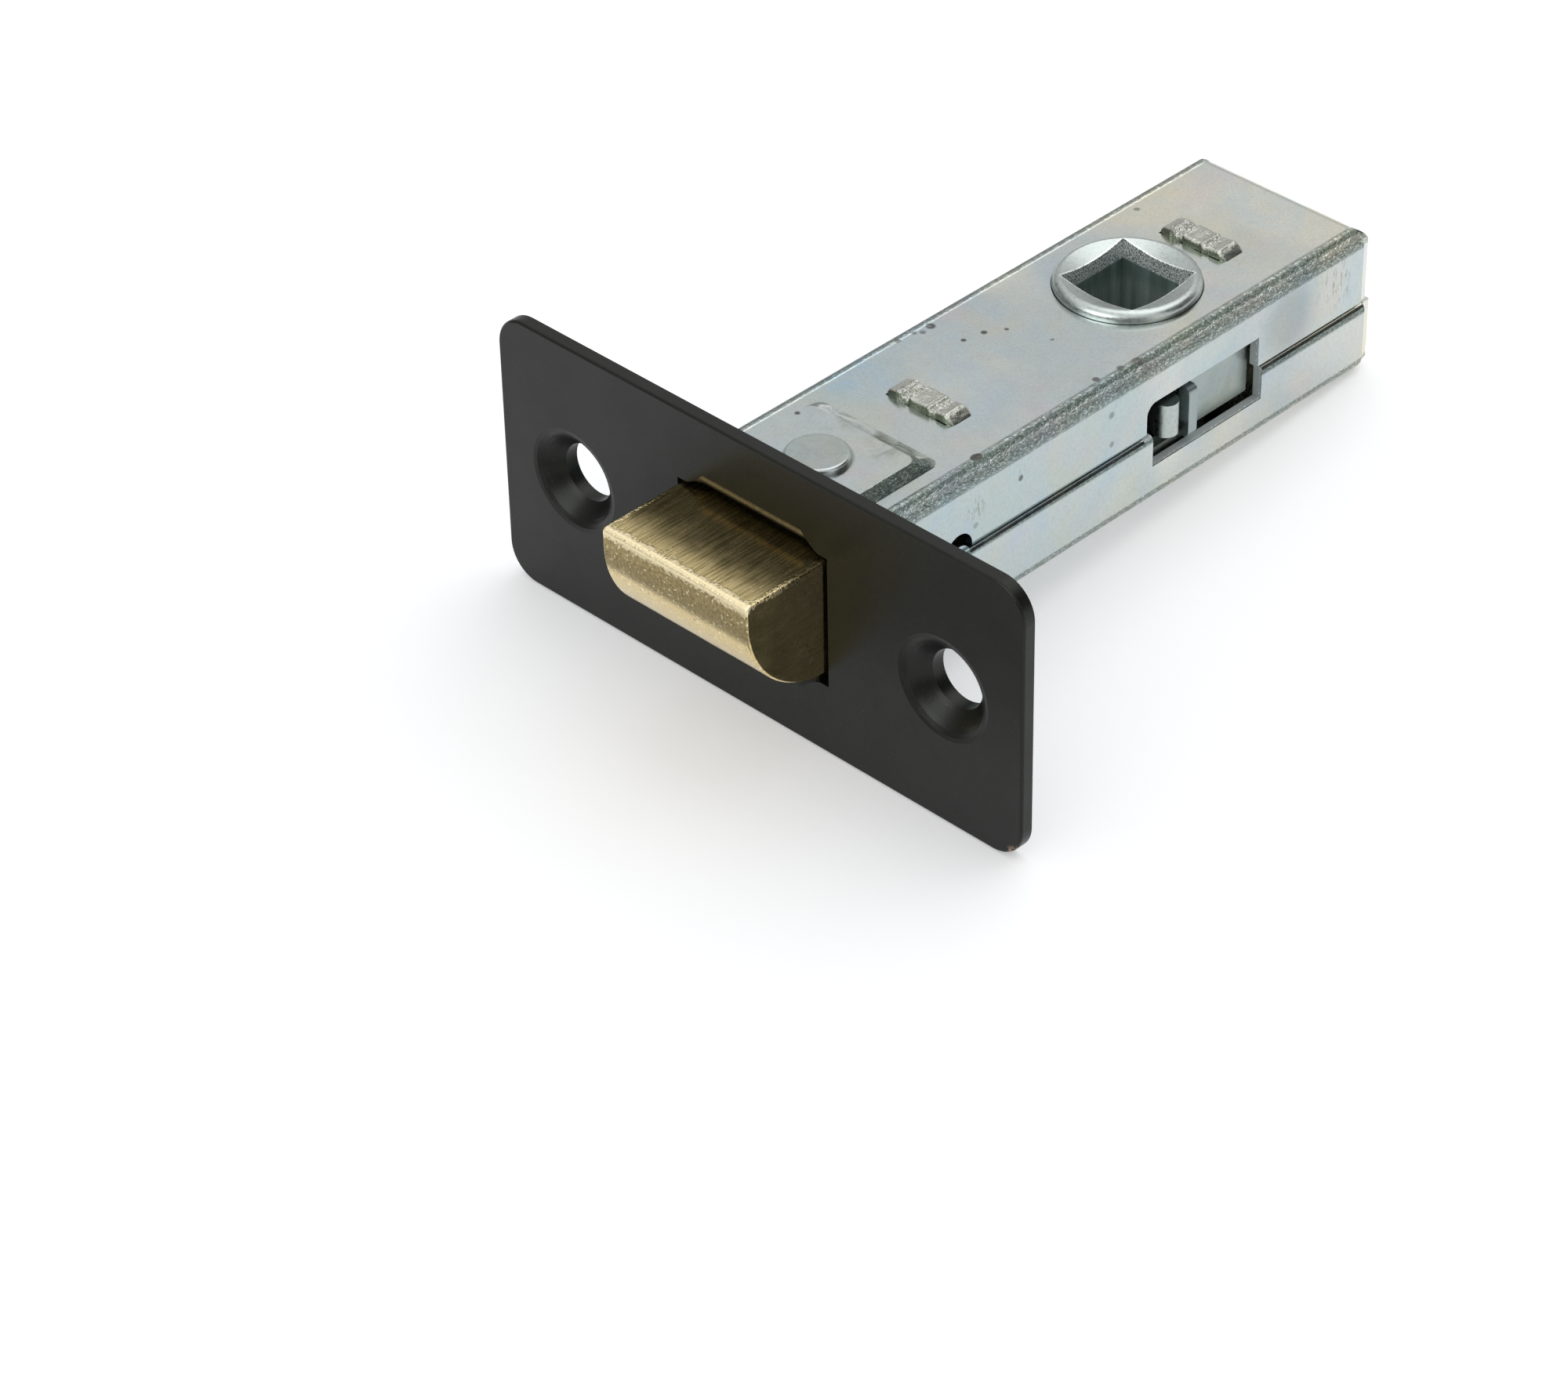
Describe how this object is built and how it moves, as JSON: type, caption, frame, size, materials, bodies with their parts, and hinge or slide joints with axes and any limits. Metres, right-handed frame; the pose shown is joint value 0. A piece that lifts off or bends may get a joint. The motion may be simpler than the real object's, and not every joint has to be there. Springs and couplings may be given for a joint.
{
  "type": "tubular door latch",
  "caption": "Tubular mortice latch: forend, slim riveted case, sprung bevelled bolt drawn back by turning a follower with a square spindle hole.",
  "frame": {"origin": "middle of the forend's front face, on the line of the latch bolt", "axes": "+X along the forend, +Y into the door along the case, +Z along the spindle, with the bolt's flat side up"},
  "size_m": [0.057, 0.0734, 0.0254],
  "materials": {
    "forend_black": "matt black",
    "upper_case_zinc": "bright zinc plate",
    "lower_case_zinc": "bright zinc plate",
    "spring_plate_zinc": "bright zinc plate",
    "rear_plate_zinc": "bright zinc plate",
    "upper_rivet_zinc": "bright zinc plate",
    "lower_rivet_zinc": "bright zinc plate",
    "latch_bolt_brass": "brushed brass, worn edges",
    "bolt_tail_steel": "zinc-plated steel",
    "bolt_spring_steel": "spring wire",
    "retractor_zinc": "bright zinc plate",
    "follower_zinc": "bright zinc plate, polished by the case"
  },
  "bodies": {
    "case": {"forend_plate": "forend_black", "upper_case": "upper_case_zinc", "lower_case": "lower_case_zinc", "spring_plate": "spring_plate_zinc", "rear_plate": "rear_plate_zinc", "upper_rivet": "upper_rivet_zinc", "lower_rivet": "lower_rivet_zinc", "bolt_spring": "bolt_spring_steel"},
    "latch": {"latch_bolt": "latch_bolt_brass", "bolt_tail": "bolt_tail_steel"},
    "retractor": {"retractor": "retractor_zinc"},
    "follower": {"follower": "follower_zinc"}
  },
  "joints": [
    {"name": "latch_slide", "type": "slide", "parent": "case", "child": "latch", "axis": [0, 1, 0], "range_m": [0, 0.0073], "stiffness_N_per_m": 1065, "springref_m": -0.008, "deforming": ["bolt_spring"]},
    {"name": "retractor_slide", "type": "slide", "parent": "case", "child": "retractor", "axis": [0, 1, 0], "range_m": [0, 0.0073]},
    {"name": "follower_turn", "type": "hinge", "parent": "case", "child": "follower", "pos_m": [0, 0.044, 0], "axis": [0, 0, 1], "range_deg": [0, 48.2]}
  ],
  "couplings": [
    {"joint": "retractor_slide", "follows": "latch_slide", "ratio": 1},
    {"joint": "follower_turn", "follows": "latch_slide", "rad_per_m": 115}
  ]
}
